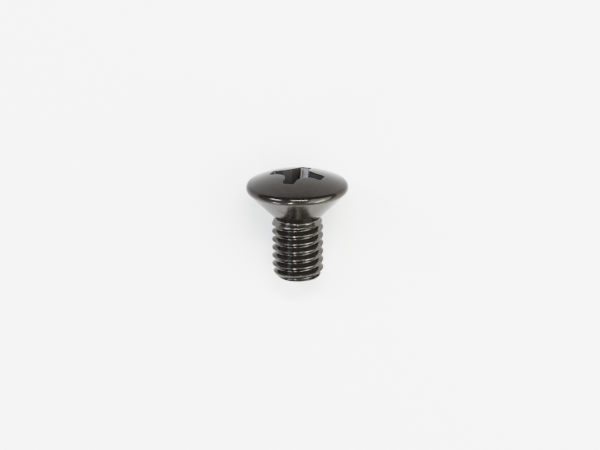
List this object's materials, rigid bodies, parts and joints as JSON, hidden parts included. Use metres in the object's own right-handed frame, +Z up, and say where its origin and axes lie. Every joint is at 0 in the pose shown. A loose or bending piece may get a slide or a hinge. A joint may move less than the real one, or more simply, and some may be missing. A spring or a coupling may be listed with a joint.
{
  "type": "raised countersunk machine screw",
  "caption": "Short black machine screw with a raised countersunk head, a cross recess and a right-hand metric thread up to its neck, lying on its rim and thread.",
  "frame": {"origin": "on the surface that the screw lies on, under the middle of its bounding box", "axes": "+Z up from that surface; +Y towards the head, along the screw as seen from above; +X across it. The screw's own axis lies in the YZ plane, its head end raised by 17.5 degrees."},
  "size_m": [0.0098, 0.011, 0.0094],
  "materials": {
    "black_steel": "glossy black oxide, slightly worn on the edges"
  },
  "bodies": {
    "root": {"screw": "black_steel"}
  },
  "joints": []
}
